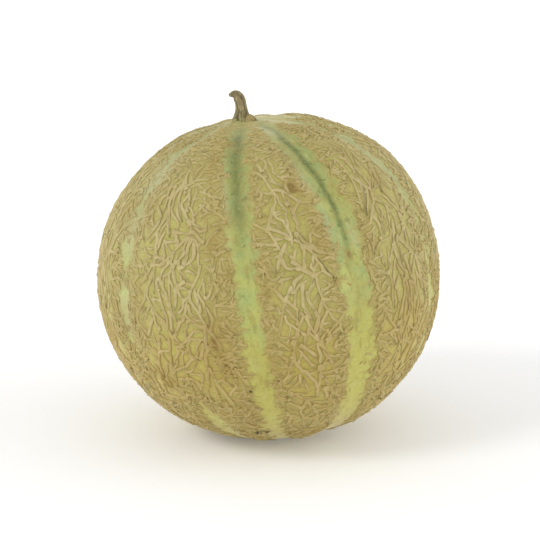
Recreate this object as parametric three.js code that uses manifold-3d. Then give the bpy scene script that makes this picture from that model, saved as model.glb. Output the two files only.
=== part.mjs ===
// A whole netted cantaloupe melon with its dried stem, as picked.
//
// Millimetres, +Z up. The fruit is a nearly round body, a little wider than it is tall, with
// shallow furrows (sutures) that run from the stem end to the blossom end. It leans to -X and rests
// on a small flat spot beside its blossom end. The origin is on the surface that it rests on,
// in the middle of its bounding box.
//
// The fruit's own frame has its centre at the origin and its axis along +Z, stem end up. Polar
// angles are measured from the stem end, and azimuths from +X towards +Y, both in degrees here.

import * as THREE from "three";
import { mergeVertices } from "three/addons/utils/BufferGeometryUtils.js";
import Module from "manifold-3d";

// ---- Driving dimensions ----------------------------------------------------------------------

const GIRTH_RADIUS = 75; // over the ribs, where the fruit is widest
const STEM_END_DROP = 3.4; // how far the stem end falls short of a sphere of that radius
const BLOSSOM_END_DROP = 2.7;
const STEM_END_SPREAD = 32; // polar angle over which the stem end flattens
const BLOSSOM_END_SPREAD = 38;
const SHOULDER_RISE = 0.4; // the fullest ring, above the girth
const SHOULDER_POLAR = 58;
const SHOULDER_SPREAD = 20;
const FULLER_SIDE = 0.6; // the +X shoulder and hip stand out by this, and the -X ones fall short

const LEAN = 7.9; // degrees from upright, towards -X
const FLAT_SPOT_DEPTH = 1.3; // how much of the round the resting spot takes off

const FURROW_HALF_WIDTH = 7.5;
const FURROW_DEPTH_AT_STEM = 1.6;
const FURROW_DEPTH_AT_GIRTH = 0.8;
const FURROW_DEEPENING_SPREAD = 38; // polar angle over which the deeper stretch fades out
// Azimuth of each furrow. One is overgrown, and shows only on the blossom half.
const FURROWS = [214, 262, 297.5, 336.5, 15, 56, 94, 135, 173];
const HALF_FURROW = 238;
const HALF_FURROW_STARTS = 96; // polar angle
const HALF_FURROW_FULL = 128;

// The stem grew a little off the fruit's axis, at these distances from it.
const STEM_X = -1.6;
const STEM_Y = -4.6;

const COLLAR_RISE = 2.2; // the skin swells up to meet the stem
const COLLAR_RADIUS = 8;

const SEAT_RADIUS = 4; // a shallow round seat in the collar, which the stem's foot stands in
const SEAT_DEPTH = 1.2;
const GAP = 0.3; // between the stem and the fruit, which touch in the real one

// The stem's centreline, from the middle of the seat's floor up, and its radius there.
const STEM = [
  { x: 0, y: 0, z: 0, radius: 3.7 },
  { x: 0.1, y: 0, z: 1.3, radius: 3.2 },
  { x: 0.35, y: 0.1, z: 3.8, radius: 2.55 },
  { x: 0.5, y: 0.2, z: 6.3, radius: 2.35 },
  { x: 0.4, y: 0.3, z: 8.5, radius: 2.35 },
  { x: -0.5, y: 0.4, z: 10.4, radius: 2.2 },
  { x: -3.2, y: 0.5, z: 11.2, radius: 1.2 },
];

const FRUIT_SLICES = 96;
const FRUIT_STACKS = 40;
const STEM_SIDES = 10;
const STEM_STEPS = 14;
const SEAT_SIDES = 24;

// ---- Shape of the fruit ----------------------------------------------------------------------

const radians = THREE.MathUtils.degToRad;
const degrees = THREE.MathUtils.radToDeg;
const bell = (distance, spread) => Math.exp(-((distance / spread) ** 2));

function angleBetween(a, b) {
  const turn = Math.abs(a - b) % 360;
  return Math.min(turn, 360 - turn);
}

// Radius of the round body, before its furrows, at a polar angle and azimuth.
function roundRadius(polar, azimuth) {
  const flattening =
    STEM_END_DROP * bell(polar, STEM_END_SPREAD) +
    BLOSSOM_END_DROP * bell(180 - polar, BLOSSOM_END_SPREAD);
  const shoulder = SHOULDER_RISE * bell(polar - SHOULDER_POLAR, SHOULDER_SPREAD);
  const lopsided = FULLER_SIDE * Math.cos(radians(azimuth)) * Math.sin(radians(2 * polar)) ** 2;
  return GIRTH_RADIUS - flattening + shoulder + lopsided;
}

// How deep the furrows are at a polar angle and azimuth. Where two meet, the depths don't add up.
function furrowDepth(polar, azimuth) {
  const ringRadius = GIRTH_RADIUS * Math.sin(radians(polar));
  const share = (furrow) =>
    bell(ringRadius * radians(angleBetween(azimuth, furrow)), FURROW_HALF_WIDTH);
  let level = FURROWS.reduce((left, furrow) => left * (1 - share(furrow)), 1);
  const shown = THREE.MathUtils.smoothstep(polar, HALF_FURROW_STARTS, HALF_FURROW_FULL);
  level *= 1 - shown * share(HALF_FURROW);
  const deepening = (FURROW_DEPTH_AT_STEM - FURROW_DEPTH_AT_GIRTH) * bell(polar, FURROW_DEEPENING_SPREAD);
  return (FURROW_DEPTH_AT_GIRTH + deepening) * (1 - level);
}

// The collar counts on the stem's half only, because it fades out long before the girth.
function fruitRadius(polar, azimuth) {
  const ringRadius = GIRTH_RADIUS * Math.sin(radians(Math.min(polar, 90)));
  const fromStemX = ringRadius * Math.cos(radians(azimuth)) - STEM_X;
  const fromStemY = ringRadius * Math.sin(radians(azimuth)) - STEM_Y;
  const collar = COLLAR_RISE * bell(Math.hypot(fromStemX, fromStemY), COLLAR_RADIUS);
  return roundRadius(polar, azimuth) - furrowDepth(polar, azimuth) + collar;
}

// A unit sphere with each point moved out to the fruit's surface.
function fruitGeometry() {
  const geometry = new THREE.SphereGeometry(1, FRUIT_SLICES, FRUIT_STACKS).rotateX(Math.PI / 2);
  const points = geometry.getAttribute("position");
  const point = new THREE.Vector3();
  for (let i = 0; i < points.count; i++) {
    point.fromBufferAttribute(points, i).normalize();
    const polar = degrees(Math.acos(THREE.MathUtils.clamp(point.z, -1, 1)));
    const azimuth = degrees(Math.atan2(point.y, point.x));
    point.multiplyScalar(fruitRadius(polar, azimuth));
    points.setXYZ(i, point.x, point.y, point.z);
  }
  return geometry;
}

// ---- Shape of the stem -----------------------------------------------------------------------

// A capped cylinder bent along the stem's centreline, which stays nearly in one XZ plane.
function stemGeometry(footHeight) {
  const spine = new THREE.CatmullRomCurve3(STEM.map(({ x, y, z }) => new THREE.Vector3(x, y, z)));
  const radiusAt = (t) => {
    const place = t * (STEM.length - 1);
    const from = Math.min(Math.floor(place), STEM.length - 2);
    return THREE.MathUtils.lerp(STEM[from].radius, STEM[from + 1].radius, place - from);
  };
  const geometry = new THREE.CylinderGeometry(1, 1, 1, STEM_SIDES, STEM_STEPS).rotateX(Math.PI / 2);
  const points = geometry.getAttribute("position");
  const across = new THREE.Vector3(0, 1, 0);
  for (let i = 0; i < points.count; i++) {
    const t = THREE.MathUtils.clamp(points.getZ(i) + 0.5, 0, 1);
    const sideways = new THREE.Vector3().crossVectors(across, spine.getTangent(t)).normalize();
    const place = spine
      .getPoint(t)
      .addScaledVector(sideways, points.getX(i) * radiusAt(t))
      .addScaledVector(across, points.getY(i) * radiusAt(t));
    points.setXYZ(i, place.x + STEM_X, place.y + STEM_Y, place.z + footHeight);
  }
  return geometry;
}

// ---- Cutting ---------------------------------------------------------------------------------

const wasm = await Module();
wasm.setup();

function solidOf(geometry) {
  const bare = geometry.clone();
  bare.deleteAttribute("normal");
  bare.deleteAttribute("uv");
  const merged = mergeVertices(bare, 1e-4);
  return new wasm.Manifold(
    new wasm.Mesh({
      numProp: 3,
      vertProperties: merged.getAttribute("position").array,
      triVerts: new Uint32Array(merged.index.array),
    }),
  );
}

function geometryOf(solid) {
  const mesh = solid.getMesh();
  return new THREE.BufferGeometry()
    .setAttribute("position", new THREE.BufferAttribute(mesh.vertProperties, 3))
    .setIndex(new THREE.BufferAttribute(mesh.triVerts, 1))
    .toNonIndexed();
}

function cut(geometry, ...tools) {
  return geometryOf(tools.reduce((left, tool) => left.subtract(solidOf(tool)), solidOf(geometry)));
}

// ---- The whole melon -------------------------------------------------------------------------

const leanOver = (geometry) => geometry.rotateY(-radians(LEAN));

// Polar angle and azimuth of the stem's place, and the height of the collar's top there.
const stemPolar = degrees(Math.asin(Math.hypot(STEM_X, STEM_Y) / GIRTH_RADIUS));
const stemAzimuth = degrees(Math.atan2(STEM_Y, STEM_X));
const collarTop = fruitRadius(stemPolar, stemAzimuth) * Math.cos(radians(stemPolar));
const seatFloor = collarTop - SEAT_DEPTH;
const seatHeight = 2 * SEAT_DEPTH + COLLAR_RISE;
const seat = new THREE.CylinderGeometry(SEAT_RADIUS, SEAT_RADIUS, seatHeight, SEAT_SIDES)
  .rotateX(Math.PI / 2)
  .translate(STEM_X, STEM_Y, seatFloor + seatHeight / 2);

const round = leanOver(fruitGeometry());
round.computeBoundingBox();
const ground = 4 * GIRTH_RADIUS;
const below = new THREE.BoxGeometry(ground, ground, ground).translate(
  0,
  0,
  round.boundingBox.min.z + FLAT_SPOT_DEPTH - ground / 2,
);

const melonGeometry = cut(round, leanOver(seat), below);
melonGeometry.computeVertexNormals();
const melon = new THREE.Mesh(
  melonGeometry,
  new THREE.MeshStandardMaterial({ color: 0xb9ab70, roughness: 0.7, metalness: 0 }),
);
melon.name = "melon";

const stem = new THREE.Mesh(
  leanOver(stemGeometry(seatFloor + GAP)),
  new THREE.MeshStandardMaterial({ color: 0x8c805f, roughness: 0.85, metalness: 0 }),
);
stem.name = "stem";

const wholeMelon = new THREE.Group();
wholeMelon.add(melon, stem);
const box = new THREE.Box3().setFromObject(wholeMelon, true);
wholeMelon.position.set(-(box.min.x + box.max.x) / 2, -(box.min.y + box.max.y) / 2, -box.min.z);

export default wholeMelon;
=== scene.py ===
"""A whole netted cantaloupe on a pale floor: its rind, the corky net on each rib, and its dried stem.

Metres. The melon's own frame has its centre at the origin and its axis along +Z, stem end up. In
that frame a place on the rind is a unit direction, with its polar angle measured from the stem end
and its azimuth from +X towards +Y, both in degrees. `placed` leans such a place over and sets it down.
"""

import math

import bmesh
import bpy
import numpy as np
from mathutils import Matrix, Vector
from mathutils.kdtree import KDTree


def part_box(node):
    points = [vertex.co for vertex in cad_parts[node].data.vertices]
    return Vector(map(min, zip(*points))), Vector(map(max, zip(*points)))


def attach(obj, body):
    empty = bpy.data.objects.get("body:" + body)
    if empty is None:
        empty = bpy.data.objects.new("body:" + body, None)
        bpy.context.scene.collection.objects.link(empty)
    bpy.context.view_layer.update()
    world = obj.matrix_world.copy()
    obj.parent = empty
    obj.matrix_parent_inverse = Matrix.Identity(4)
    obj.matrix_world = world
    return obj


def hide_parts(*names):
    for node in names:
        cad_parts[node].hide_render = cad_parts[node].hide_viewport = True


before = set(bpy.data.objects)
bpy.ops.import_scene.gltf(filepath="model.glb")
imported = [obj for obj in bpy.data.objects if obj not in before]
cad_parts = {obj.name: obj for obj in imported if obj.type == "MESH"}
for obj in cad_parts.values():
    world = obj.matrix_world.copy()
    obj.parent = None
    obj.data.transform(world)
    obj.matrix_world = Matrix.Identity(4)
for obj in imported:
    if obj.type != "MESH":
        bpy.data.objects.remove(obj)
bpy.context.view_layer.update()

MM = 0.001

# ---- Shape of the fruit: the CAD model's, with a sway added to its furrows ----------------------

GIRTH_RADIUS = 75 * MM
STEM_END_DROP = 3.4 * MM
BLOSSOM_END_DROP = 2.7 * MM
STEM_END_SPREAD = 32
BLOSSOM_END_SPREAD = 38
SHOULDER_RISE = 0.4 * MM
SHOULDER_POLAR = 58
SHOULDER_SPREAD = 20
FULLER_SIDE = 0.6 * MM
LEAN = 7.9
FURROW_HALF_WIDTH = 7.5 * MM
FURROW_DEPTH_AT_STEM = 1.6 * MM
FURROW_DEPTH_AT_GIRTH = 0.8 * MM
FURROW_DEEPENING_SPREAD = 38
FURROWS = np.array([15, 56, 94, 135, 173, 214, 262, 297.5, 336.5])
HALF_FURROW = 238
HALF_FURROW_STARTS = 96
HALF_FURROW_FULL = 128
STEM_X = -1.6 * MM
STEM_Y = -4.6 * MM
COLLAR_RISE = 2.2 * MM
COLLAR_RADIUS = 8 * MM
SEAT_DEPTH = 1.2 * MM

# The furrows swing this many degrees round the melon between its shoulder and its girth.
SWAY = 2.5
SWAY_POLARS = (25, 60)
# The skin lies this far below the CAD surface, which the crests of the net reach.
NET_RISE = 0.5 * MM


def bell(distance, spread):
    return np.exp(-((distance / spread) ** 2))


def smoothstep(value, low, high):
    share = np.clip((value - low) / (high - low), 0, 1)
    return share * share * (3 - 2 * share)


def polar_of(places):
    return np.degrees(np.arccos(np.clip(places[:, 2], -1, 1)))


def azimuth_of(places):
    return np.degrees(np.arctan2(places[:, 1], places[:, 0])) % 360


def arc_to(places, azimuth):
    """Signed distance along the ring through each place to the meridian at an azimuth."""
    turn = (azimuth_of(places) - azimuth + 180) % 360 - 180
    return GIRTH_RADIUS * np.sin(np.radians(polar_of(places))) * np.radians(turn)


def arc_to_furrow(places, number):
    """Signed distance along the ring through each place to a furrow."""
    return arc_to(places, FURROWS[number] + SWAY * smoothstep(polar_of(places), *SWAY_POLARS))


def half_furrow_shown(places):
    return smoothstep(polar_of(places), HALF_FURROW_STARTS, HALF_FURROW_FULL)


def furrow_depth(places):
    level = np.ones(len(places))
    for number in range(len(FURROWS)):
        level *= 1 - bell(arc_to_furrow(places, number), FURROW_HALF_WIDTH)
    half_furrow = bell(arc_to(places, HALF_FURROW), FURROW_HALF_WIDTH)
    level *= 1 - half_furrow_shown(places) * half_furrow
    deepening = FURROW_DEPTH_AT_STEM - FURROW_DEPTH_AT_GIRTH
    depth = FURROW_DEPTH_AT_GIRTH + deepening * bell(polar_of(places), FURROW_DEEPENING_SPREAD)
    return depth * (1 - level)


def fruit_radius(places):
    polar = polar_of(places)
    flattening = STEM_END_DROP * bell(polar, STEM_END_SPREAD)
    flattening += BLOSSOM_END_DROP * bell(180 - polar, BLOSSOM_END_SPREAD)
    shoulder = SHOULDER_RISE * bell(polar - SHOULDER_POLAR, SHOULDER_SPREAD)
    towards_x = np.cos(np.radians(azimuth_of(places)))
    lopsided = FULLER_SIDE * towards_x * np.sin(np.radians(2 * polar)) ** 2
    across = GIRTH_RADIUS * np.sin(np.radians(np.minimum(polar, 90)))
    from_stem_x = across * towards_x - STEM_X
    from_stem_y = across * np.sin(np.radians(azimuth_of(places))) - STEM_Y
    collar = COLLAR_RISE * bell(np.hypot(from_stem_x, from_stem_y), COLLAR_RADIUS)
    return GIRTH_RADIUS - flattening + shoulder + lopsided + collar - furrow_depth(places)


def place_at(polar, azimuth):
    """Unit directions from polar angles and azimuths in degrees."""
    polar, azimuth = np.broadcast_arrays(np.radians(polar), np.radians(azimuth))
    across = np.sin(polar)
    columns = (across * np.cos(azimuth), across * np.sin(azimuth), np.cos(polar))
    return np.stack(columns, axis=-1).reshape(-1, 3)


def leaned(vectors):
    """Turns vectors from the melon's own frame to the row frame."""
    lean = math.radians(LEAN)
    cos, sin = math.cos(lean), math.sin(lean)
    turn = np.array([[cos, 0, -sin], [0, 1, 0], [sin, 0, cos]])
    return vectors @ turn.T


def middle_of_fruit():
    """The melon's own origin in the row frame, from the box that the CAD fruit fills."""
    low, high = (np.array(corner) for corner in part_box("melon"))
    polar, azimuth = np.meshgrid(np.linspace(1, 179, 179), np.arange(0, 360, 2))
    places = place_at(polar.ravel(), azimuth.ravel())
    shape = leaned(places * fruit_radius(places)[:, None])
    middle = (low + high) / 2 - (shape.min(axis=0) + shape.max(axis=0)) / 2
    middle[2] = high[2] - shape[:, 2].max()
    return middle


MIDDLE = middle_of_fruit()


def placed(places, lift=0.0):
    """Points in the row frame that stand `lift` above the skin. None lies below the floor."""
    points = MIDDLE + leaned(places * (fruit_radius(places) - NET_RISE + lift)[:, None])
    points[:, 2] = np.maximum(points[:, 2], 0)
    return points


# ---- Regions of the rind -----------------------------------------------------------------------

BAND_POLARS = [0, 10, 30, 60, 90, 120, 150, 180]
# Half the width of the smooth band along a furrow at those polar angles.
BAND_HALF_WIDTHS = np.array([0.8, 2.2, 5.2, 5.8, 5.0, 4.9, 4.6, 2.5]) * MM
# How wide each furrow's smooth band is beside the others'.
BAND_SHARES = [0.9, 0.8, 0.95, 0.85, 0.9, 0.65, 0.95, 1.15, 0.55]
# These furrows' bands come and go along their length.
PATCHY_FURROWS = (5, 8)
# The net has closed over this furrow's band from its girth down.
SHORT_BAND = 5
SHORT_BAND_ENDS = (96, 112)  # polar angles
SHORT_BAND_NARROWS = 8 * MM
HALF_FURROW_SHARE = 0.65
OVERGROWN = 20 * MM  # how far the half furrow's band is moved off where it doesn't show
RAGGEDNESS = 1.7 * MM


def ripple(places, wavelength, seed):
    """Smooth noise of about -1 to 1: plane waves in fixed random directions, added up."""
    rng = np.random.default_rng(seed)
    waves = 10
    total = np.zeros(len(places))
    for _ in range(waves):
        direction = rng.normal(size=3)
        length = np.linalg.norm(direction) * wavelength * rng.uniform(0.7, 1.5)
        direction *= math.tau * GIRTH_RADIUS / length
        total += np.sin(places @ direction + rng.uniform(0, math.tau))
    return total / math.sqrt(waves)


def outside_band(places):
    """Distance from the edge of the nearest furrow's smooth band, negative inside the band."""
    half_width = np.interp(polar_of(places), BAND_POLARS, BAND_HALF_WIDTHS)
    ragged = RAGGEDNESS * (0.6 * ripple(places, 9 * MM, 5) + 0.4 * ripple(places, 3.5 * MM, 6))
    nearest = np.full(len(places), np.inf)
    patchy = 0.7 + 0.5 * ripple(places, 12 * MM, 14)
    for number, share in enumerate(BAND_SHARES):
        width = share * half_width * (patchy if number in PATCHY_FURROWS else 1)
        if number == SHORT_BAND:
            width = width - SHORT_BAND_NARROWS * smoothstep(polar_of(places), *SHORT_BAND_ENDS)
        nearest = np.minimum(nearest, np.abs(arc_to_furrow(places, number)) - width)
    shown = half_furrow_shown(places)
    overgrown = OVERGROWN * (1 - shown)
    half_furrow = np.abs(arc_to(places, HALF_FURROW)) - HALF_FURROW_SHARE * half_width
    return np.minimum(nearest, half_furrow + overgrown) + ragged


def rib_of(places):
    """The number of the rib that each place is on, which follows the furrow of that number."""
    return (np.searchsorted(FURROWS, azimuth_of(places), side="right") - 1) % len(FURROWS)


def along_rib(places):
    """How far up a rib's back each place is: 0 at the bands on its sides and 1 in its middle."""
    rib = rib_of(places)
    following = np.roll(FURROWS, -1)[rib] + np.where(rib == len(FURROWS) - 1, 360, 0)
    half = GIRTH_RADIUS * np.sin(np.radians(polar_of(places))) * np.radians(following - FURROWS[rib]) / 2
    return np.clip(outside_band(places) / np.maximum(half - 3 * MM, 2 * MM), 0, 1)


# ---- The net: cords of cork that grow over the skin until they meet one another ----------------

GROWTH_STEP = 0.7 * MM
NET_SEED = 11
CANDIDATES = 90000
REGION_POLARS = [0, 12, 30, 48, 60, 100, 116, 135, 180]
# The breadth of a finished cell, and of a cord.
CELL_ON_BACK = np.array([2.4, 2.4, 2.8, 3.4, 3.8, 3.8, 3.4, 3.0, 2.8]) * MM
CELL_AT_SIDE = np.array([2.2, 2.2, 2.3, 2.5, 2.7, 2.7, 2.6, 2.4, 2.4]) * MM
BREADTH_ON_BACK = np.array([0.75, 0.85, 1.0, 1.15, 1.2, 1.2, 1.25, 1.15, 1.0]) * MM
BREADTH_AT_SIDE = np.array([0.65, 0.75, 0.85, 0.95, 1.05, 1.05, 1.05, 1.0, 0.9]) * MM
NET_STARTS = 12.5  # polar angle
NET_ENDS = 172
CLEAR_OF_FLOOR = 1.2 * MM


def by_region(places, on_back, at_side):
    """A size that changes from the stem end to the blossom end, and from a rib's sides to its back."""
    polar = polar_of(places)
    back = smoothstep(along_rib(places) + 0.12 * ripple(places, 11 * MM, 8), 0.2, 0.6)
    side_size, back_size = (np.interp(polar, REGION_POLARS, sizes) for sizes in (at_side, on_back))
    return side_size + (back_size - side_size) * back


def cell_at(places):
    return by_region(places, CELL_ON_BACK, CELL_AT_SIDE)


def grain_at(places):
    """How strongly the net runs lengthwise: 1 on the backs of the ribs round the girth, 0 elsewhere."""
    girth = smoothstep(polar_of(places), 28, 52) * (1 - smoothstep(polar_of(places), 98, 122))
    return girth * smoothstep(along_rib(places), 0.3, 0.75)


def net_grows(places):
    """Where the net can be: off the smooth bands, the stem's collar, the blossom scar and the floor."""
    polar = polar_of(places)
    off_floor = placed(places)[:, 2] > CLEAR_OF_FLOOR
    towards_x = np.cos(np.radians(azimuth_of(places)))
    starts = NET_STARTS + 5.5 * towards_x + 2 * ripple(places, 8 * MM, 9)
    return (outside_band(places) > 0) & (polar > starts) & (polar < NET_ENDS) & off_floor


def southward_and_eastward(places):
    east = np.stack([-places[:, 1], places[:, 0], np.zeros(len(places))], axis=1)
    east /= np.maximum(np.linalg.norm(east, axis=1), 1e-9)[:, None]
    return np.cross(east, places), east


def evenly_scattered(count, rng):
    """Directions spread evenly over the sphere along a spiral, in random order."""
    i = np.arange(count) + 0.5
    polar = np.degrees(np.arccos(1 - 2 * i / count))
    azimuth = np.degrees(i * math.pi * (1 + math.sqrt(5)))
    return rng.permutation(place_at(polar, azimuth))


class Net:
    """Cords that are grown in rounds. All the cords of a round grow together, step by step."""

    VOXEL = 0.7 * MM
    ELBOW_ROOM = 1.7 * MM
    TURN_AWAY = 0.12  # radians at each step, from a cord on one side
    KINK_CHANCE = 0.09
    KINK = 0.55  # radians
    WANDER = 0.05

    def __init__(self, rng):
        self.rng = rng
        self.cords = []
        self.side = int(2.2 * GIRTH_RADIUS / self.VOXEL)
        self.owner = np.full((self.side,) * 3, -1, np.int32)  # the cord that runs through each voxel

    def voxel(self, places):
        return tuple(((places + 1.1) * (GIRTH_RADIUS / self.VOXEL)).astype(int).T)

    def mark(self, places, cords):
        """Marks the voxels at some places, and those beside them, where no other cord runs."""
        x, y, z = self.voxel(places)
        for dx, dy, dz in ((0, 0, 0), (1, 0, 0), (-1, 0, 0), (0, 1, 0), (0, -1, 0), (0, 0, 1), (0, 0, -1)):
            free = self.owner[x + dx, y + dy, z + dz] < 0
            self.owner[(x + dx)[free], (y + dy)[free], (z + dz)[free]] = cords[free]

    def clearance(self, places):
        """Distance from each place to the nearest cord."""
        points = [point for cord in self.cords for point in cord["places"]]
        if not points:
            return np.full(len(places), np.inf)
        tree = KDTree(len(points))
        for i, point in enumerate(points):
            tree.insert(point, i)
        tree.balance()
        return np.array([tree.find(place)[2] for place in places]) * GIRTH_RADIUS

    def seeds(self, apart, clear, allowed):
        """Places to start from: `clear` cells from any cord, and about `apart` from one another."""
        places = evenly_scattered(CANDIDATES, self.rng)
        area_each = 4 * math.pi * GIRTH_RADIUS**2 / CANDIDATES
        chance = allowed(places) * np.minimum(area_each / apart(places) ** 2 * 3, 1)
        places = places[self.rng.random(len(places)) < chance]
        places = places[self.clearance(places) > clear * cell_at(places)]
        blocks = np.floor((places + self.rng.random(3)) * GIRTH_RADIUS / (0.8 * apart(places)[:, None]))
        return places[np.unique(blocks, axis=0, return_index=True)[1]]

    def crowded(self, tips, sides, cords):
        """Whether another cord runs close by on a given side of each tip."""
        beside = tips + sides * (self.ELBOW_ROOM / GIRTH_RADIUS)
        owner = self.owner[self.voxel(beside)]
        return (owner >= 0) & (owner != cords)

    def grow(self, seeds, angles, reaches, breadth, grows=net_grows):
        """Grows a cord both ways from each seed, at an angle to the meridian, until it meets another."""
        count = len(seeds)
        numbers = len(self.cords) + np.arange(count)
        south, east = southward_and_eastward(seeds)
        aim = np.cos(angles)[:, None] * south + np.sin(angles)[:, None] * east
        self.mark(seeds, numbers)
        tips = np.concatenate([seeds, seeds])
        headings = np.concatenate([aim, -aim])
        cords = np.concatenate([numbers, numbers])
        left = np.concatenate([reaches, reaches]) * self.rng.uniform(0.6, 1.4, 2 * count) / 2
        trails = [[place] for place in tips]
        met = np.zeros(2 * count, bool)
        going = np.arange(2 * count)
        while len(going):
            tip, heading = tips[going], headings[going]
            side = np.cross(tip, heading)
            right = self.crowded(tip, side + 0.5 * heading, cords[going])
            left_side = self.crowded(tip, 0.5 * heading - side, cords[going])
            kinks = self.rng.random(len(going)) < self.KINK_CHANCE
            turn = self.rng.normal(0, self.WANDER, len(going))
            turn += kinks * self.rng.normal(0, self.KINK, len(going))
            turn += self.TURN_AWAY * (left_side * 1.0 - right * 1.0)
            heading = heading + turn[:, None] * side
            place = tip + heading * (GROWTH_STEP / GIRTH_RADIUS)
            place /= np.linalg.norm(place, axis=1)[:, None]
            heading -= np.sum(heading * place, axis=1)[:, None] * place
            heading /= np.linalg.norm(heading, axis=1)[:, None]
            headings[going], tips[going] = heading, place
            for number, point in zip(going, place):
                trails[number].append(point)
            owner = self.owner[self.voxel(place)]
            met[going] = (owner >= 0) & (owner != cords[going])
            left[going] -= GROWTH_STEP
            on = ~met[going] & (left[going] > 0) & grows(place)
            self.mark(place[on], cords[going][on])
            going = going[on]
        for number in np.flatnonzero(met):
            trails[number].append(tips[number] + headings[number] * (GROWTH_STEP / GIRTH_RADIUS))
        for i in range(count):
            places = np.array(trails[count + i][:0:-1] + trails[i])
            places /= np.linalg.norm(places, axis=1)[:, None]
            size = breadth * self.rng.uniform(0.75, 1.25)
            self.cords.append({"places": places, "met": (met[count + i], met[i]), "breadth": size})


def uniform_gap(gap):
    return lambda places: np.full(len(places), gap)


def on_back(places):
    return grain_at(places) > 0.35


def band_edge(places):
    """The ragged margin of the smooth bands, where only short dashes of cork stand."""
    outside = outside_band(places)
    sparse = ripple(places, 5 * MM, 13) * 1.2 * MM
    polar = polar_of(places)
    return (outside + sparse > -2.0 * MM) & (outside < 1.0 * MM) & (polar > 9) & (polar < 150)


def net_grows_on_back(places):
    return on_back(places) & net_grows(places)


# Rounds of growth. Each cord starts at least `clear` cells from any other, and is as broad as said
# beside the usual breadth.
LONG_ROUNDS = ((1.2, 24, 1.1), (1.0, 16, 1.05))  # clear, reach in millimetres, breadth
LONG_APART = 7 * MM
LONG_STRAY = 24  # degrees from the meridian
CLOSING_ROUNDS = ((1.1, 1.05), (0.85, 1.0), (0.68, 0.95), (0.56, 0.85))  # clear, breadth
CLOSING_STRAY = 52  # degrees from crosswise; more low on the melon and less high on it
CLOSING_STRAY_LOW = 40
CLOSING_STRAY_HIGH = -28
LENGTHWISE_SHARE = 0.55
LENGTHWISE_STRAY = 34
RUNG_ROUNDS = (0.5, 0.45)  # clear
RUNG_STRAY = 48
RUNG_REACH = 7 * MM
RUNG_BREADTH = 0.9
DASH_APART = 3.2 * MM
DASH_CLEAR = 0.3


def grow_net():
    """The whole net. Long cords come first on the ribs' backs, then cords and rungs that close the
    cells, and last the dashes at the bands' edges."""
    rng = np.random.default_rng(NET_SEED)
    net = Net(rng)
    for clear, reach, breadth in LONG_ROUNDS:
        seeds = net.seeds(uniform_gap(LONG_APART), clear, net_grows_on_back)
        angles = rng.normal(0, math.radians(LONG_STRAY), len(seeds))
        net.grow(seeds, angles, rng.uniform(0.4, 1.3, len(seeds)) * reach * MM, breadth)
    for clear, breadth in CLOSING_ROUNDS:
        seeds = net.seeds(lambda places: 1.5 * cell_at(places), clear, net_grows)
        low = smoothstep(polar_of(seeds), 100, 120)
        high = 1 - smoothstep(polar_of(seeds), 25, 50)
        spread = np.radians(CLOSING_STRAY + CLOSING_STRAY_LOW * low + CLOSING_STRAY_HIGH * high)
        crosswise = 0.5 * math.pi + rng.normal(0, 1, len(seeds)) * spread
        lengthwise = rng.normal(0, math.radians(LENGTHWISE_STRAY), len(seeds))
        runs_along = rng.random(len(seeds)) < LENGTHWISE_SHARE * grain_at(seeds)
        angles = np.where(runs_along, lengthwise, crosswise)
        reach = rng.uniform(4, 11, len(seeds)) + 5 * rng.random(len(seeds)) * on_back(seeds)
        net.grow(seeds, angles, reach * MM, breadth)
    for clear in RUNG_ROUNDS:
        seeds = net.seeds(lambda places: 1.3 * cell_at(places), clear, net_grows_on_back)
        angles = 0.5 * math.pi + rng.normal(0, math.radians(RUNG_STRAY), len(seeds))
        net.grow(seeds, angles, np.full(len(seeds), RUNG_REACH), RUNG_BREADTH)
    seeds = net.seeds(uniform_gap(DASH_APART), DASH_CLEAR, band_edge)
    angles = 0.5 * math.pi + rng.normal(0, 0.7, len(seeds))
    net.grow(seeds, angles, rng.uniform(0.5, 2.2, len(seeds)) * MM, 1.0, band_edge)
    return net.cords


def breadths_along(cord):
    """Full breadth of a cord at each of its places. It tapers to a free end and swells at a joint."""
    places = cord["places"]
    breadth = cord["breadth"] * by_region(places, BREADTH_ON_BACK, BREADTH_AT_SIDE)
    breadth *= 1 + 0.13 * ripple(places, 6 * MM, 21) + 0.1 * ripple(places, 2.5 * MM, 22)
    steps = np.arange(len(places)) * GROWTH_STEP
    for from_end, met in ((steps, cord["met"][0]), (steps[::-1], cord["met"][1])):
        if met:
            breadth = breadth * (1 + 0.3 * bell(from_end - 0.7 * MM, 1.0 * MM))
        else:
            breadth = breadth * np.interp(from_end, [0, 1.8 * MM], [0.25, 1])
    near_floor = smoothstep(placed(places)[:, 2], 0.5 * MM, 7 * MM)
    near_stem = smoothstep(polar_of(places), 0.6 * NET_STARTS, 2 * NET_STARTS)
    near_band = smoothstep(outside_band(places), -1 * MM, 2.5 * MM)
    return breadth * (0.5 + 0.5 * near_floor) * (0.5 + 0.5 * near_stem) * (0.6 + 0.4 * near_band)


# ---- Node trees --------------------------------------------------------------------------------


class Value:
    """A number socket. Arithmetic on it adds Math nodes, and gives the socket of the result."""

    def __init__(self, tree, socket):
        self.tree = tree
        self.socket = socket

    def math(self, operation, *operands):
        return self.tree.add("ShaderNodeMath", {"operation": operation}, dict(enumerate(operands)))

    def __add__(self, other):
        return self.math("ADD", self, other)

    def __sub__(self, other):
        return self.math("SUBTRACT", self, other)

    def __rsub__(self, other):
        return self.math("SUBTRACT", other, self)

    def __mul__(self, other):
        return self.math("MULTIPLY", self, other)

    def __pow__(self, other):
        return self.math("POWER", self, other)

    __radd__ = __add__
    __rmul__ = __mul__

    def between(self, low, high):
        """0 below `low`, 1 above `high`, and smooth from one to the other."""
        sockets = {"Value": self, "From Min": low, "From Max": high}
        return self.tree.add("ShaderNodeMapRange", {"interpolation_type": "SMOOTHSTEP"}, sockets)


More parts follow.
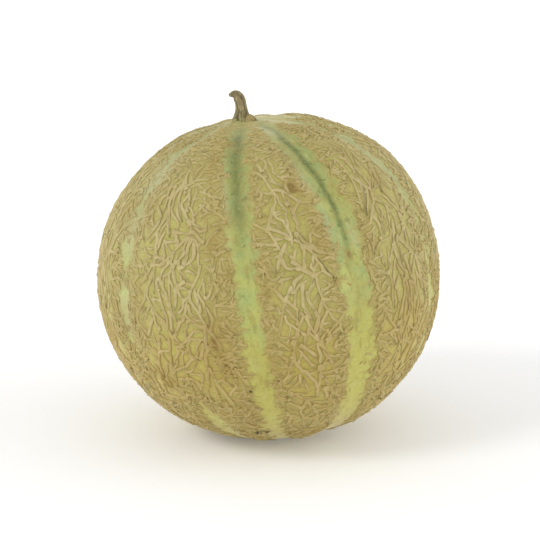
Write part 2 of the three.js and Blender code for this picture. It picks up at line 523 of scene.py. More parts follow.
class Tree:
    """A node tree that is built by adding one node at a time."""

    def __init__(self, nodes):
        self.nodes = nodes.nodes
        self.links = nodes.links

    def add(self, kind, settings=None, sockets=None, output=0):
        """Adds a node, sets it up, fills or links its sockets, and gives one of its outputs."""
        node = self.nodes.new(kind)
        for name, value in (settings or {}).items():
            if name == "stops":
                self.set_stops(node.color_ramp, value)
            else:
                setattr(node, name, value)
        for name, value in (sockets or {}).items():
            self.fill(self.find(node.inputs, name), value)
        return Value(self, self.find(node.outputs, output)) if len(node.outputs) else node

    def find(self, sockets, name):
        if isinstance(name, int):
            return sockets[name]
        return next(socket for socket in sockets if name in (socket.identifier, socket.name))

    def fill(self, socket, value):
        if isinstance(value, Value):
            self.links.new(value.socket, socket)
        else:
            socket.default_value = value

    def set_stops(self, ramp, stops):
        while len(ramp.elements) < len(stops):
            ramp.elements.new(1)
        for element, (position, paint) in zip(ramp.elements, stops):
            element.position = position
            element.color = paint

    def attribute(self, name, output="Fac"):
        return self.add("ShaderNodeAttribute", {"attribute_name": name}, output=output)

    def stretched(self, where, x, y, z):
        return self.add("ShaderNodeMapping", None, {"Vector": where, "Scale": (x, y, z)}, "Vector")

    def cracks(self, where, size):
        """Distance from the nearest edge of a net of polygons about `size` across: 0 at the edge."""
        sockets = {"Vector": where, "Scale": 1 / size}
        return self.add("ShaderNodeTexVoronoi", {"feature": "DISTANCE_TO_EDGE"}, sockets)

    def noise(self, where, size, detail=2.0, seed=0.0):
        """Noise from 0 to 1 whose lumps are about `size` across, in metres."""
        sockets = {"Vector": where, "W": seed, "Scale": 0.5 / size, "Detail": detail}
        return self.add("ShaderNodeTexNoise", {"noise_dimensions": "4D"}, sockets)

    def mix(self, share, first, second):
        sockets = {"Factor_Float": share, "A_Color": first, "B_Color": second}
        return self.add("ShaderNodeMix", {"data_type": "RGBA"}, sockets, "Result_Color")

    def ramp(self, value, *stops):
        return self.add("ShaderNodeValToRGB", {"stops": stops}, {"Fac": value}, "Color")


def colour(red, green, blue):
    """A linear colour from the usual 0 to 255 values."""
    levels = [c / 255 for c in (red, green, blue)]
    return (*(c / 12.92 if c < 0.04045 else ((c + 0.055) / 1.055) ** 2.4 for c in levels), 1.0)


def new_material(name, make):
    """A material whose Principled shader is fed by `make`, which gets the tree and object coordinates."""
    material = bpy.data.materials.new(name)
    material.use_nodes = True
    material.node_tree.nodes.clear()
    tree = Tree(material.node_tree)
    where = tree.add("ShaderNodeTexCoord", output="Object")
    shader = tree.add("ShaderNodeBsdfPrincipled", None, make(tree, where), "BSDF")
    tree.add("ShaderNodeOutputMaterial", None, {"Surface": shader})
    return material


def bumped(tree, height, distance):
    return tree.add("ShaderNodeBump", None, {"Height": height, "Distance": distance}, "Normal")


# ---- Materials ---------------------------------------------------------------------------------

CELL_SKIN = colour(180, 174, 94)
# Painted light: the lighter colour that is painted in the middles of the net's cells.
CELL_LIT_HEART = colour(186, 183, 92)
CELL_SKIN_LOW = colour(182, 164, 72)
CELL_SKIN_CROWN = colour(164, 161, 96)
OLIVE = colour(142, 130, 58)
VEIL = colour(174, 157, 92)
VEIL_LOW = colour(170, 149, 82)
VEIL_CROWN = colour(166, 155, 94)
SLIT_OLIVE = colour(124, 111, 44)
UNDER_CORK = colour(164, 147, 76)
BROWN = colour(146, 116, 46)
DARK_BROWN = colour(112, 86, 36)
BLUE_GREEN = colour(146, 162, 98)
DEEP_GREEN = colour(94, 106, 48)
PALE_GLAZE = colour(184, 186, 116)
CROWN_GLAZE = colour(186, 187, 148)
SKIN_SHEEN = colour(255, 246, 205)


def rind_skin(tree, where):
    """Waxy skin: yellow-green in the net's cells, greener along furrows, corky at the ribs' sides, with
    painted shade beside the cords and painted light in the cells' middles.
    """
    up = tree.attribute("stemward")
    unrolled = tree.attribute("unrolled", "Vector")
    band_share = tree.attribute("band")
    blotch = tree.noise(where, 7 * MM, 3, 1)
    mottle = tree.noise(where, 1.5 * MM, 3, 2)
    speckle = tree.noise(where, 0.6 * MM, 2, 3)
    streaks = tree.noise(tree.stretched(unrolled, 1, 1, 0.22), 1.3 * MM, 3, 8)
    slits = tree.noise(tree.stretched(unrolled, 0.45, 0.45, 1.5), 1.0 * MM, 2, 9)
    cell = tree.ramp(
        up,
        (0.12, VEIL_LOW),
        (0.3, CELL_SKIN_LOW),
        (0.42, CELL_SKIN_LOW),
        (0.52, CELL_SKIN),
        (0.8, CELL_SKIN),
        (0.93, CELL_SKIN_CROWN),
    )
    # Painted light: the middles of the cells, away from the cords, are painted lighter. This is the other
    # side of the painted shade beside the cords.
    lit_heart = (1 - tree.attribute("beside")).between(0.55, 1.0)
    cell = tree.mix(lit_heart * up.between(0.25, 0.5), cell, CELL_LIT_HEART)
    band = tree.ramp(
        up,
        (0.1, colour(172, 156, 84)),
        (0.28, colour(182, 176, 84)),
        (0.42, colour(180, 177, 86)),
        (0.55, colour(174, 178, 96)),
        (0.7, colour(162, 164, 88)),
        (0.82, colour(150, 153, 84)),
        (0.95, colour(152, 154, 90)),
    )
    dapple = tree.noise(where, 3 * MM, 3, 16)
    band = tree.mix(blotch.between(0.48, 0.64) * 0.7 * up.between(0.4, 0.6), band, BLUE_GREEN)
    band = tree.mix(dapple.between(0.52, 0.66) * 0.6 * up.between(0.35, 0.55), band, BLUE_GREEN)
    band = tree.mix(streaks.between(0.52, 0.72) * 0.5, band, PALE_GLAZE)
    band = tree.mix(streaks.between(0.5, 0.3) * 0.6, band, OLIVE)
    band = tree.mix(mottle.between(0.52, 0.72) * 0.55, band, VEIL)
    flecks = tree.noise(where, 1.3 * MM, 2, 14).between(0.6, 0.68) * up.between(0.4, 0.65)
    green = tree.attribute("green") * (0.65 + 0.45 * streaks.between(0.35, 0.6)) + 0.5 * flecks
    band = tree.mix(green, band, DEEP_GREEN)
    fine_net = tree.cracks(tree.stretched(unrolled, 0.8, 0.8, 1.25), 1.9 * MM)
    thread = (1 - fine_net.between(0.04, 0.22)) * mottle.between(0.3, 0.5)
    veil = tree.ramp(up, (0.4, VEIL_LOW), (0.54, VEIL), (0.78, VEIL), (0.92, VEIL_CROWN))
    veil = tree.mix(slits.between(0.5, 0.6) * (1 - thread) * 0.9, veil, SLIT_OLIVE)
    veiled = tree.attribute("veil") * (0.35 + 0.65 * blotch.between(0.25, 0.6))
    cell = tree.mix(dapple.between(0.5, 0.62) * 0.5, cell, UNDER_CORK)
    skin = tree.mix(veiled, cell, veil)
    edge = (band_share + 0.6 * (mottle - 0.5) + 0.6 * (dapple - 0.5)).between(0.15, 0.8)
    skin = tree.mix(edge, skin, band)
    skin = tree.mix(thread * 0.3 * (1 - band_share), skin, VEIL)
    # Painted shade: the skin beside each cord is darkened towards olive, where the cords' shade would fall.
    skin = tree.mix(tree.attribute("beside") * (1 - edge) * 0.4, skin, OLIVE)
    skin = tree.mix(tree.attribute("glaze") * (0.4 + 0.6 * mottle), skin, CROWN_GLAZE)
    skin = tree.mix(tree.attribute("brown") * (0.35 + 0.65 * mottle), skin, BROWN)
    skin = tree.mix(tree.attribute("brown").between(0.6, 1.0) * 0.6, skin, DARK_BROWN)
    skin = tree.mix(speckle.between(0.5, 0.7) * 0.3, skin, OLIVE)
    skin = tree.mix(speckle.between(0.5, 0.3) * 0.2, skin, PALE_GLAZE)
    relief = 0.5 * speckle + mottle + 0.8 * thread * (1 - edge)
    return {
        "Base Color": skin,
        "Sheen Weight": 0.6,
        "Sheen Roughness": 0.4,
        "Sheen Tint": SKIN_SHEEN,
        "Roughness": 0.5 + 0.25 * mottle,
        "Normal": bumped(tree, relief, 0.16 * MM),
    }


CORK = colour(182, 166, 112)
CORK_HIGHLIGHT = colour(208, 194, 150)
CORK_GROOVE_SHADE = colour(156, 141, 88)
CORK_SHADE_AND_GRAIN = colour(143, 130, 62)
CORK_LOW = colour(176, 152, 88)
CORK_CROWN = colour(168, 156, 98)
CORK_SIDE = colour(177, 159, 97)


def net_cork(tree, where):
    """Dry corky cords with a painted highlight along the crest and painted shade at the foot, browner
    towards both ends.
    """
    grain = tree.noise(where, 0.7 * MM, 3, 4)
    smear = tree.noise(where, 3.5 * MM, 2, 10)
    up = tree.attribute("stemward")
    cork = tree.ramp(up, (0.15, CORK_LOW), (0.44, CORK_LOW), (0.54, CORK), (0.78, CORK), (0.92, CORK_CROWN))
    cork = tree.mix(tree.attribute("veil") * smear.between(0.25, 0.6), cork, CORK_SIDE)
    crest = tree.attribute("crest")
    crest_highlight = tree.attribute("tone") * (1 - 0.6 * tree.attribute("veil")) * (0.3 + 0.7 * smear)
    # Painted highlight: the crests are painted paler, more on some cords at random and less on the ribs'
    # sides.
    cork = tree.mix(crest_highlight * crest.between(0.4, 0.95), cork, CORK_HIGHLIGHT)
    # Painted shade: the cords' flanks and foot are painted darker and olive.
    cork = tree.mix(1 - crest.between(0.02, 0.55), cork, CORK_SHADE_AND_GRAIN)
    # Painted shade: a darker line down the middle of the crest, where a groove would hold shade. The cord's
    # section has no such groove.
    split = tree.noise(where, 2 * MM, 2, 15).between(0.45, 0.6)
    cork = tree.mix(crest.between(0.75, 1.0) * split * 0.6, cork, CORK_GROOVE_SHADE)
    cork = tree.mix(tree.attribute("brown") * 0.75, cork, BROWN)
    cork = tree.mix(tree.attribute("glaze") * 0.35, cork, CROWN_GLAZE)
    # Dark grain flecks in the cork, in the same colour as the painted shade.
    cork = tree.mix(grain.between(0.5, 0.85) * 0.3, cork, CORK_SHADE_AND_GRAIN)
    return {
        "Base Color": cork,
        "Sheen Weight": 0.4,
        "Sheen Roughness": 0.4,
        "Sheen Tint": SKIN_SHEEN,
        "Roughness": 0.72 + 0.2 * grain,
        "Normal": bumped(tree, grain, 0.15 * MM),
    }


def crack_cork(tree, where):
    """The dry lips of a split in the skin, and painted shade inside it."""
    grain = tree.noise(where, 0.5 * MM, 2, 11)
    lips = tree.mix(grain, colour(150, 136, 84), colour(186, 170, 112))
    return {
        # Painted shade: the middles of the split and of the pin hole are painted dark, standing for their
        # depth.
        "Base Color": tree.mix(tree.attribute("depth").between(0.15, 0.5), lips, colour(78, 70, 40)),
        "Roughness": 0.8 + 0.1 * grain,
        "Normal": bumped(tree, grain, 0.15 * MM),
    }


def scab_cork(tree, where):
    """A knot of dead brown-green tissue beside the stem."""
    lumps = tree.noise(where, 1.2 * MM, 3, 12)
    pits = tree.noise(where, 0.5 * MM, 2, 13)
    scab = tree.mix(lumps.between(0.4, 0.62), colour(130, 112, 68), colour(162, 146, 96))
    return {
        "Base Color": tree.mix(pits.between(0.56, 0.72) * 0.8, scab, colour(88, 72, 40)),
        "Roughness": 0.8 + 0.1 * pits,
        "Normal": bumped(tree, lumps + pits, 0.4 * MM),
    }


STEM_FIBRE = colour(162, 148, 110)
STEM_BROWN = colour(128, 115, 78)
STEM_DARK = colour(74, 66, 42)
STEM_FOOT = colour(158, 154, 100)


def stem_fibre(tree, where):
    """Dried vine: pale fibres along it, dark streaks between its ridges, greener at the foot."""
    fibres = tree.noise(tree.stretched(where, 1, 1, 0.2), 0.45 * MM, 4, 5)
    patches = tree.noise(where, 1.8 * MM, 4, 6)
    wood = tree.mix(patches.between(0.38, 0.6), STEM_BROWN, STEM_FIBRE)
    wood = tree.mix(tree.attribute("foot") * patches.between(0.2, 0.6), wood, STEM_FOOT)
    wood = tree.mix(fibres.between(0.5, 0.68) * 0.8, wood, STEM_DARK)
    groove = (1 - tree.attribute("ridge").between(0.0, 0.5)) * patches.between(0.3, 0.6)
    wood = tree.mix(groove * 0.8, wood, STEM_DARK)
    return {
        "Base Color": wood,
        "Roughness": 0.8 + 0.15 * fibres,
        "Normal": bumped(tree, fibres + patches, 0.4 * MM),
    }


def floor_paint(tree, where):
    grain = tree.noise(where, 4 * MM, 2, 7)
    paint = tree.mix(grain, colour(250, 250, 250), colour(253, 253, 253))
    return {"Base Color": paint, "Roughness": 0.9, "Emission Color": (1, 1, 1, 1), "Emission Strength": 0.12}


# ---- Making meshes -----------------------------------------------------------------------------


def new_object(name, mesh):
    piece = bpy.data.objects.new(name, mesh)
    bpy.context.scene.collection.objects.link(piece)
    return piece


def set_attribute(mesh, name, values):
    kind = "FLOAT_VECTOR" if np.ndim(values) == 2 else "FLOAT"
    attribute = mesh.attributes.new(name, kind, "POINT")
    field = "vector" if kind == "FLOAT_VECTOR" else "value"
    attribute.data.foreach_set(field, np.ravel(values).astype(np.float32))


def finish_piece(piece, material=None):
    if material:
        piece.data.materials.append(material)
    piece.data.shade_smooth()
    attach(piece, "root")
    return piece


def spots(places, marks):
    """How strongly each place is marked. A mark has a polar angle, a furrow's number, how far past that
    furrow it lies, a length and a width in millimetres along and across the rib, and a strength."""
    marked = np.zeros(len(places))
    for polar, furrow, past, length, width, strength in marks:
        south = GIRTH_RADIUS * np.radians(polar_of(places) - polar)
        spot = bell(south, length * MM) * bell(arc_to_furrow(places, furrow) - past * MM, width * MM)
        marked = np.maximum(marked, strength * spot)
    return marked


RUBBED_BROWN = (
    (95, 6, -15, 12, 6, 0.75),
    (105, 6, -15, 8, 8, 0.5),
    (65, 6, -12, 5, 3, 0.55),
    (110, 5, 15, 5, 5, 0.7),
    (35, 6, -10, 4, 3, 0.6),
    (50, 7, -13, 3.5, 2.5, 1.3),
    (75, 7, 0, 2, 1.5, 1.4),
    (55, 7, 5, 2.5, 1.2, 0.6),
    (70, 7, -12, 4, 3, 0.5),
    (75, 6, -6, 3, 3, 0.45),
    (145, 6, 10, 8, 20, 0.5),
    (110, 1, 30, 15, 10, 0.6),
    (70, 3, 20, 5, 5, 0.6),
    (125, 8, -8, 10, 8, 0.4),
)
GLAZED = (
    (40, 5, 0, 16, 8, 0.75),
    (60, 5, 0, 14, 7, 0.7),
    (85, 5, 0, 12, 6, 0.5),
    (50, 8, 0, 20, 6, 0.4),
    (45, 7, -6, 14, 2, 0.5),
    (65, 7, -6, 8, 2, 0.5),
    (70, 7, 4, 5, 1.5, 0.5),
    (50, 6, -5, 12, 1.5, 0.4),
    (10, 8, -3, 6, 3, 0.7),
    (15, 8, -4, 5, 4, 0.35),
    (15, 5, 0, 7, 4, 0.35),
    (20, 7, -2, 7, 3, 0.6),
    (35, 8, 3, 3, 2, 0.7),
    (10, 1, 0, 6, 3, 0.7),
    (10, 3, 0, 6, 3, 0.6),
)
# The dark green line along each furrow: half its width in millimetres, its strength, and the polar
# angle by which it has faded.
GREEN_LINES = (
    (1.1, 0.75, 70),
    (1.0, 0.6, 60),
    (1.2, 0.8, 75),
    (1.2, 0.7, 65),
    (1.2, 0.7, 70),
    (1.6, 0.25, 60),
    (2.8, 0.85, 80),
    (1.35, 1.2, 90),
    (0.7, 0.5, 90),
)
GREEN_STARTS = (6, 20)  # polar angles
GREEN_FADES_OVER = 35


def greenness(places):
    """How strongly the dark green at the bottom of the furrows shows at each place."""
    polar = polar_of(places)
    green = np.zeros(len(places))
    for furrow, (width, strength, end) in enumerate(GREEN_LINES):
        shown = smoothstep(polar, *GREEN_STARTS) * (1 - smoothstep(polar, end - GREEN_FADES_OVER, end))
        line = bell(arc_to_furrow(places, furrow), width * MM)
        green = np.maximum(green, strength * shown * line)
    return np.clip(green * (1 + 0.2 * ripple(places, 14 * MM, 43)), 0, 1)


def brownness(places):
    """Where the skin is browned: a few rubbed places, and a wash that comes and goes."""
    wash = 0.3 * smoothstep(ripple(places, 26 * MM, 31), 0.2, 1.4)
    rubbed = spots(places, RUBBED_BROWN) * (1 + 0.4 * ripple(places, 4 * MM, 32))
    return np.clip(np.maximum(wash, rubbed), 0, 1)


def veil_share(places):
    """How far a fine corky veil covers the skin: fully on the ribs' sides and towards both ends."""
    polar = polar_of(places)
    back = smoothstep(along_rib(places) + 0.1 * ripple(places, 9 * MM, 33), 0.15, 0.55)
    middle = smoothstep(polar, 25, 48) * (1 - smoothstep(polar, 112, 140))
    return 1 - back * middle


RIND_CUTS = 125  # on each edge of the cube that is blown up into the rind


def rind_directions():
    """A mesh of even squares over the unit sphere, closed and without poles."""
    shell = bmesh.new()
    bmesh.ops.create_cube(shell, size=2)
    bmesh.ops.subdivide_edges(shell, edges=shell.edges[:], cuts=RIND_CUTS, use_grid_fill=True)
    mesh = bpy.data.meshes.new("rind")
    shell.to_mesh(mesh)
    shell.free()
    corners = np.empty(3 * len(mesh.vertices))
    mesh.vertices.foreach_get("co", corners)
    places = np.tan(corners.reshape(-1, 3) * math.pi / 4)
    return mesh, places / np.linalg.norm(places, axis=1)[:, None]


def make_rind(cords):
    mesh, places = rind_directions()
    crests = np.concatenate([cord["places"] for cord in cords])
    halves = np.concatenate([cord["breadths"] for cord in cords]) / 2
    tree = KDTree(len(crests))
    for i, crest in enumerate(crests):
        tree.insert(crest, i)
    tree.balance()
    found = [tree.find(place)[1:] for place in places]
    gap = np.array([distance * GIRTH_RADIUS - halves[i] for i, distance in found])
    # How near each place lies to a cord. The skin material paints shade beside the cords and lighter cell
    # middles from it.
    beside = np.exp(-np.maximum(gap, 0) / (1.1 * MM))
    mesh.vertices.foreach_set("co", placed(places).ravel())
    outside = outside_band(places)
    polar = polar_of(places)
    band = 1 - smoothstep(outside, -2.2 * MM, 2.2 * MM)
    waver = 0.8 * ripple(places, 12 * MM, 41) + 0.4 * ripple(places, 4 * MM, 42)
    wavered = places + (0.5 * MM / GIRTH_RADIUS) * waver[:, None] * southward_and_eastward(places)[1]
    across = GIRTH_RADIUS * np.sin(np.radians(polar))
    azimuth = np.radians(azimuth_of(places))
    unrolled = (across * np.cos(azimuth), across * np.sin(azimuth), GIRTH_RADIUS * np.radians(polar))
    set_attribute(mesh, "stemward", 1 - polar / 180)
    set_attribute(mesh, "unrolled", np.stack(unrolled, axis=1))
    set_attribute(mesh, "band", band)
    set_attribute(mesh, "green", greenness(wavered))
    set_attribute(mesh, "glaze", np.clip(spots(places, GLAZED), 0, 1))
    set_attribute(mesh, "veil", veil_share(places))
    set_attribute(mesh, "beside", beside)
    set_attribute(mesh, "brown", brownness(places))
    rind = finish_piece(new_object("rind", mesh), new_material("rind_skin", rind_skin))
    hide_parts("melon")
    return rind


CORD_SIDES = 10
CORD_SINK = 0.02 * MM  # how far the cords' centre lines lie below the skin
CORD_HEIGHT = 0.98  # of half a cord's breadth
CORD_FOOT = 1.3  # half the foot's width, of half a cord's breadth


def net_tree(material):
    """Geometry nodes that sweep a low section with a soft foot along every cord."""
    group = bpy.data.node_groups.new("net_cords", "GeometryNodeTree")
    face = group.interface
    face.new_socket("Cords", in_out="INPUT", socket_type="NodeSocketGeometry")
    inputs = {}
    for name in ("Height", "Foot"):
        inputs[name] = face.new_socket(name, in_out="INPUT", socket_type="NodeSocketFloat").identifier
    inputs["Sides"] = face.new_socket("Sides", in_out="INPUT", socket_type="NodeSocketInt").identifier
    face.new_socket("Net", in_out="OUTPUT", socket_type="NodeSocketGeometry")
    tree = Tree(group)
    put_in = group.nodes.new("NodeGroupInput")
    lines, height, foot, sides = (Value(tree, socket) for socket in put_in.outputs[:4])
    breadth = tree.add("GeometryNodeInputNamedAttribute", {"data_type": "FLOAT"}, {"Name": "breadth"})
    outward = tree.add("GeometryNodeInputNamedAttribute", {"data_type": "FLOAT_VECTOR"}, {"Name": "outward"})
    curves = tree.add("GeometryNodeMeshToCurve", None, {"Mesh": lines})
    curves = tree.add("GeometryNodeSetCurveNormal", {"mode": "FREE"}, {"Curve": curves, "Normal": outward})
    size = {"Resolution": sides, "Radius": 1.0}
    circle = tree.add("GeometryNodeCurvePrimitiveCircle", {"mode": "RADIUS"}, size)
    around = tree.add("GeometryNodeInputPosition")
    up = tree.add("ShaderNodeSeparateXYZ", None, {"Vector": around}, "X")
    across = tree.add("ShaderNodeSeparateXYZ", None, {"Vector": around}, "Y")
    crest = up.math("MAXIMUM", up, 0) ** 3
    keep = {"Geometry": circle, "Name": "crest", "Value": crest}
    section = tree.add("GeometryNodeStoreNamedAttribute", {"data_type": "FLOAT", "domain": "POINT"}, keep)
    rise = crest * height + up.math("MINIMUM", up, 0) * 0.3
    shape = tree.add("ShaderNodeCombineXYZ", None, {"X": rise, "Y": across * foot})
    section = tree.add("GeometryNodeSetPosition", None, {"Geometry": section, "Position": shape})
    sockets = {"Curve": curves, "Profile Curve": section, "Scale": breadth * 0.5, "Fill Caps": True}
    net = tree.add("GeometryNodeCurveToMesh", None, sockets)
    net = tree.add("GeometryNodeRealizeInstances", None, {"Geometry": net})
    net = tree.add("GeometryNodeSetMaterial", None, {"Geometry": net, "Material": material})
    tree.add("NodeGroupOutput", None, {0: net})
    return group, inputs


def baked(piece):
    """Replaces a piece by the plain mesh that its modifiers make of it."""
    graph = bpy.context.evaluated_depsgraph_get()
    final = piece.evaluated_get(graph)
    mesh = bpy.data.meshes.new_from_object(final, preserve_all_data_layers=True, depsgraph=graph)
    piece.modifiers.clear()
    piece.data = mesh
    return piece


def cord_lines(name, cords):
    """One mesh of edges that holds the cords' centre lines, and what the net needs to know there."""
    places = np.concatenate([cord["places"] for cord in cords])
    starts = np.cumsum([0] + [len(cord["places"]) for cord in cords])
    edges = [(i, i + 1) for start, end in zip(starts, starts[1:]) for i in range(start, end - 1)]
    breadths = np.concatenate([cord["breadths"] for cord in cords])
    tones = np.concatenate([np.full(len(cord["places"]), cord["tone"]) for cord in cords])
    mesh = bpy.data.meshes.new(name)
    mesh.from_pydata(placed(places, -CORD_SINK), edges, [])
    set_attribute(mesh, "breadth", breadths)
    set_attribute(mesh, "outward", leaned(places))
    set_attribute(mesh, "tone", tones)
    set_attribute(mesh, "stemward", 1 - polar_of(places) / 180)
    set_attribute(mesh, "veil", veil_share(places))
    set_attribute(mesh, "brown", brownness(places))
    set_attribute(mesh, "glaze", np.clip(spots(places, GLAZED), 0, 1))
    return mesh


def make_net(cords):
    group, inputs = net_tree(new_material("net_cork", net_cork))
    ribs = np.array([rib_of(cord["places"][len(cord["places"]) // 2][None])[0] for cord in cords])
    for rib in range(len(FURROWS)):
        own = [cord for cord, number in zip(cords, ribs) if number == rib]
        name = f"net_rib_{rib + 1:02d}"
        piece = new_object(name, cord_lines(name, own))
        sweep = piece.modifiers.new("sweep", "NODES")
        sweep.node_group = group
        sweep[inputs["Height"]] = CORD_HEIGHT
        sweep[inputs["Foot"]] = CORD_FOOT
        sweep[inputs["Sides"]] = CORD_SIDES
        finish_piece(baked(piece))


# ---- Stem --------------------------------------------------------------------------------------

# The centre line in the melon's own frame, from the seat's floor at the stem's place, and the
# radius there.
STEM = np.array([
    (0, 0, -1.0, 4.2),
    (0, 0, 0.6, 3.8),
    (0.1, 0, 1.8, 3.2),
    (0.35, 0.1, 3.8, 2.65),
    (0.5, 0.2, 6.3, 2.45),
    (0.4, 0.3, 8.5, 2.45),
    (-0.5, 0.4, 10.2, 2.2),
    (-1.9, 0.5, 11.1, 1.6),
    (-3.9, 0.5, 11.0, 0.6),
]) * MM
STEM_RIDGES = 5


def smooth_line(points, count):
    """Points at even parameters along a Catmull-Rom curve through the given ones."""
    ends = np.concatenate([2 * points[:1] - points[1:2], points, 2 * points[-1:] - points[-2:-1]])
    line = []
    for t in np.linspace(0, len(points) - 1, count):
        i = min(int(t), len(points) - 2)
        a, b, c, d = ends[i : i + 4]
        t -= i
        bend = (2 * a - 5 * b + 4 * c - d) * t**2 + (3 * b - a - 3 * c + d) * t**3
        line.append(0.5 * (2 * b + (c - a) * t + bend))
    return np.array(line)


def collar_top():
    """Height of the collar at the stem's place, in the melon's own frame."""
    polar = math.degrees(math.asin(math.hypot(STEM_X, STEM_Y) / GIRTH_RADIUS))
    place = place_at(polar, math.degrees(math.atan2(STEM_Y, STEM_X)))
    return fruit_radius(place)[0] * math.cos(math.radians(polar))


def make_stem():
    steps, sides = 70, 60
    line = smooth_line(STEM, steps)
    along = np.gradient(line[:, :3], axis=0)
    along /= np.linalg.norm(along, axis=1)[:, None]
    across = np.array([0.0, 1.0, 0.0])
    turn = np.arange(sides) / sides * math.tau
    rings, ridges, feet = [], [], []
    for i in range(steps):
        share = i / (steps - 1)
        sideways = np.cross(across, along[i])
        twist = 0.8 * share
        ridge = 0.5 + 0.5 * np.cos(STEM_RIDGES * (turn + twist) + 0.5 * np.sin(3 * turn + 4 * share))
        swell = 1 + 0.16 * (ridge - 0.5) + 0.04 * np.sin(2 * turn + 9 * share)
        foot = 1 + 0.35 * bell(share, 0.22) * (ridge - 0.3)
        radius = line[i, 3] * swell * foot
        around = np.cos(turn)[:, None] * sideways + np.sin(turn)[:, None] * across
        rings.append(line[i, :3] + radius[:, None] * around)
        ridges.append(ridge)
        feet.append(np.full(sides, bell(share, 0.25)))
    points = np.concatenate(rings)
    tip = line[-1, :3] + along[-1] * 0.3 * MM
    points = np.concatenate([points, line[:1, :3], tip[None]])
    faces = []
    for i in range(steps - 1):
        for j in range(sides):
            k = (j + 1) % sides
            faces.append((i * sides + j, i * sides + k, (i + 1) * sides + k, (i + 1) * sides + j))
    last = (steps - 1) * sides
    for j in range(sides):
        k = (j + 1) % sides
        faces.append((k, j, steps * sides))
        faces.append((last + j, last + k, steps * sides + 1))
    points += (STEM_X, STEM_Y, collar_top() - SEAT_DEPTH)
    mesh = bpy.data.meshes.new("dried_stem")
    mesh.from_pydata(MIDDLE + leaned(points), [], faces)
    set_attribute(mesh, "ridge", np.concatenate([*ridges, [1, 1]]))
    set_attribute(mesh, "foot", np.concatenate([*feet, [1, 0]]))
    fibre = new_material("stem_fibre", stem_fibre)
    stem = finish_piece(new_object("dried_stem", mesh), fibre)
    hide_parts("stem")


# ---- Marks on the skin -------------------------------------------------------------------------

# Millimetres above the skin, from a mark's middle out.
LIP_HEIGHTS = [0.0, 0.05, 0.25, 0.45, 0.15, -0.35]
KNOB_HEIGHTS = [2.5, 2.3, 1.8, 1.1, 0.2, -0.6]
ROOT_DEPTH = 1.2 * MM  # how far a mark reaches into the skin


def make_mark(name, material, polar, azimuth, length, width, heights):
    """A closed lump or a lipped split that grows out of the skin, `length` along the ring through it."""
    rings, sides = len(heights), 36
    turn = np.arange(sides) / sides * math.tau
    points, depths = [], []
    middle = place_at(polar, azimuth)
    south, east = southward_and_eastward(middle)
    for ring, height in enumerate(heights):
        share = (ring + 0.5) / rings
        wobble = 1 + 0.12 * np.sin(3 * turn + 1) + 0.08 * np.sin(7 * turn + ring)
        across = share * wobble * np.cos(turn) * length / 2
        down = share * wobble * np.sin(turn) * width / 2
        place = middle + (across[:, None] * east + down[:, None] * south) * (MM / GIRTH_RADIUS)
        place /= np.linalg.norm(place, axis=1)[:, None]
        points.append(placed(place, height * MM))
        depths.append(np.full(sides, 1 - share))
    top = placed(middle, heights[0] * MM)
    under = placed(middle, -ROOT_DEPTH)
    faces = []
    for j in range(sides):
        k = (j + 1) % sides
        for i in range(rings - 1):
            faces.append((i * sides + j, (i + 1) * sides + j, (i + 1) * sides + k, i * sides + k))
        faces.append((j, k, rings * sides))
        faces.append(((rings - 1) * sides + k, (rings - 1) * sides + j, rings * sides + 1))
    mesh = bpy.data.meshes.new(name)
    mesh.from_pydata(np.concatenate([*points, top, under]), [], faces)
    shell = bmesh.new()
    shell.from_mesh(mesh)
    bmesh.ops.recalc_face_normals(shell, faces=shell.faces)
    shell.to_mesh(mesh)
    shell.free()
    set_attribute(mesh, "depth", np.concatenate([*depths, [1, 0]]))
    finish_piece(new_object(name, mesh), material)


def make_marks():
    cork = new_material("crack_cork", crack_cork)
    make_mark("dry_crack", cork, 140, 257, 9.5, 6.0, LIP_HEIGHTS)
    make_mark("pin_hole", cork, 115, 260, 1.6, 1.5, LIP_HEIGHTS)
    scab = new_material("scab_cork", scab_cork)
    make_mark("stem_scab", scab, 6.5, 284, 7.6, 5.6, KNOB_HEIGHTS)


# ---- Studio ------------------------------------------------------------------------------------

VIEW_ELEVATION = 13.5
VIEW_DISTANCE = 0.75
LENS = 113.4
AIM_RIGHT = 0.7 * MM
AIM_UP = 2.4 * MM


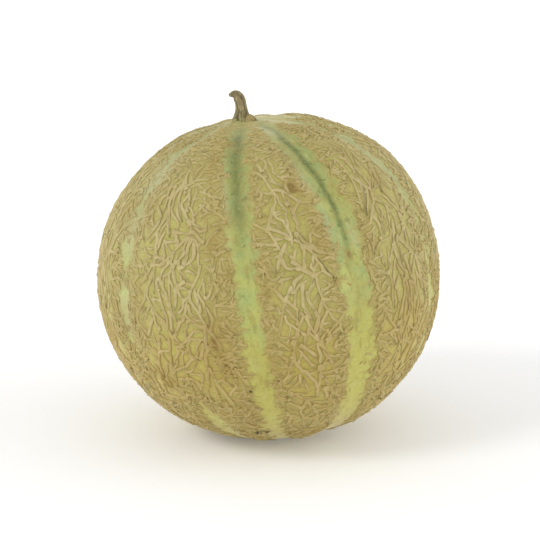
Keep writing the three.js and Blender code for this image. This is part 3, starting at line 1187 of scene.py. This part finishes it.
def make_camera():
    elevation = math.radians(VIEW_ELEVATION)
    back = Vector((0, -math.cos(elevation), math.sin(elevation)))
    up = Vector((0, math.sin(elevation), math.cos(elevation)))
    camera = bpy.data.objects.new("camera", bpy.data.cameras.new("camera"))
    camera.data.lens = LENS
    camera.location = Vector(MIDDLE) + back * VIEW_DISTANCE + up * AIM_UP + Vector((AIM_RIGHT, 0, 0))
    camera.rotation_euler = back.to_track_quat("Z", "Y").to_euler()
    bpy.context.scene.collection.objects.link(camera)
    bpy.context.scene.camera = camera


def make_sun(towards, breadth, strength):
    """A soft distant light in a direction, as broad in the sky as the given angle."""
    light = bpy.data.lights.new("soft_light", "SUN")
    light.angle = math.radians(breadth)
    light.energy = strength
    lamp = bpy.data.objects.new("soft_light", light)
    lamp.rotation_euler = Vector(towards).to_track_quat("Z", "Y").to_euler()
    bpy.context.scene.collection.objects.link(lamp)


def make_studio():
    make_sun((-0.9, -0.6, 0.85), 20, 0.74)
    make_sun((0.9, -0.25, 0.3), 60, 0.5)
    world = bpy.data.worlds.new("studio")
    world.use_nodes = True
    world.node_tree.nodes.clear()
    tree = Tree(world.node_tree)
    towards = tree.add("ShaderNodeTexCoord", output="Generated")
    height = tree.add("ShaderNodeSeparateXYZ", None, {"Vector": towards}, "Z")
    across = tree.add("ShaderNodeSeparateXYZ", None, {"Vector": towards}, "X")
    aside = (across * across).between(0.35, 0.95)
    seen = tree.add("ShaderNodeLightPath", output="Is Camera Ray")
    sky = 0.91 - 0.24 * height.between(0.0, 0.9) + 0.75 * aside
    strength = sky + seen * (1 - sky)
    glow = tree.add("ShaderNodeBackground", None, {"Color": (1, 1, 1, 1), "Strength": strength})
    tree.add("ShaderNodeOutputWorld", None, {"Surface": glow})
    bpy.context.scene.world = world
    bpy.ops.mesh.primitive_plane_add(size=8)
    floor = bpy.context.object
    floor.name = "floor"
    floor.data.materials.append(new_material("floor_paint", floor_paint))
    bpy.context.scene.view_settings.view_transform = "Standard"


# ---- The whole scene ---------------------------------------------------------------------------

make_camera()
make_studio()
cords = grow_net()
tones = np.random.default_rng(12).uniform(0, 0.7, len(cords))
for cord, tone in zip(cords, tones):
    cord["breadths"] = breadths_along(cord)
    cord["tone"] = tone
make_rind(cords)
make_net(cords)
make_stem()
make_marks()
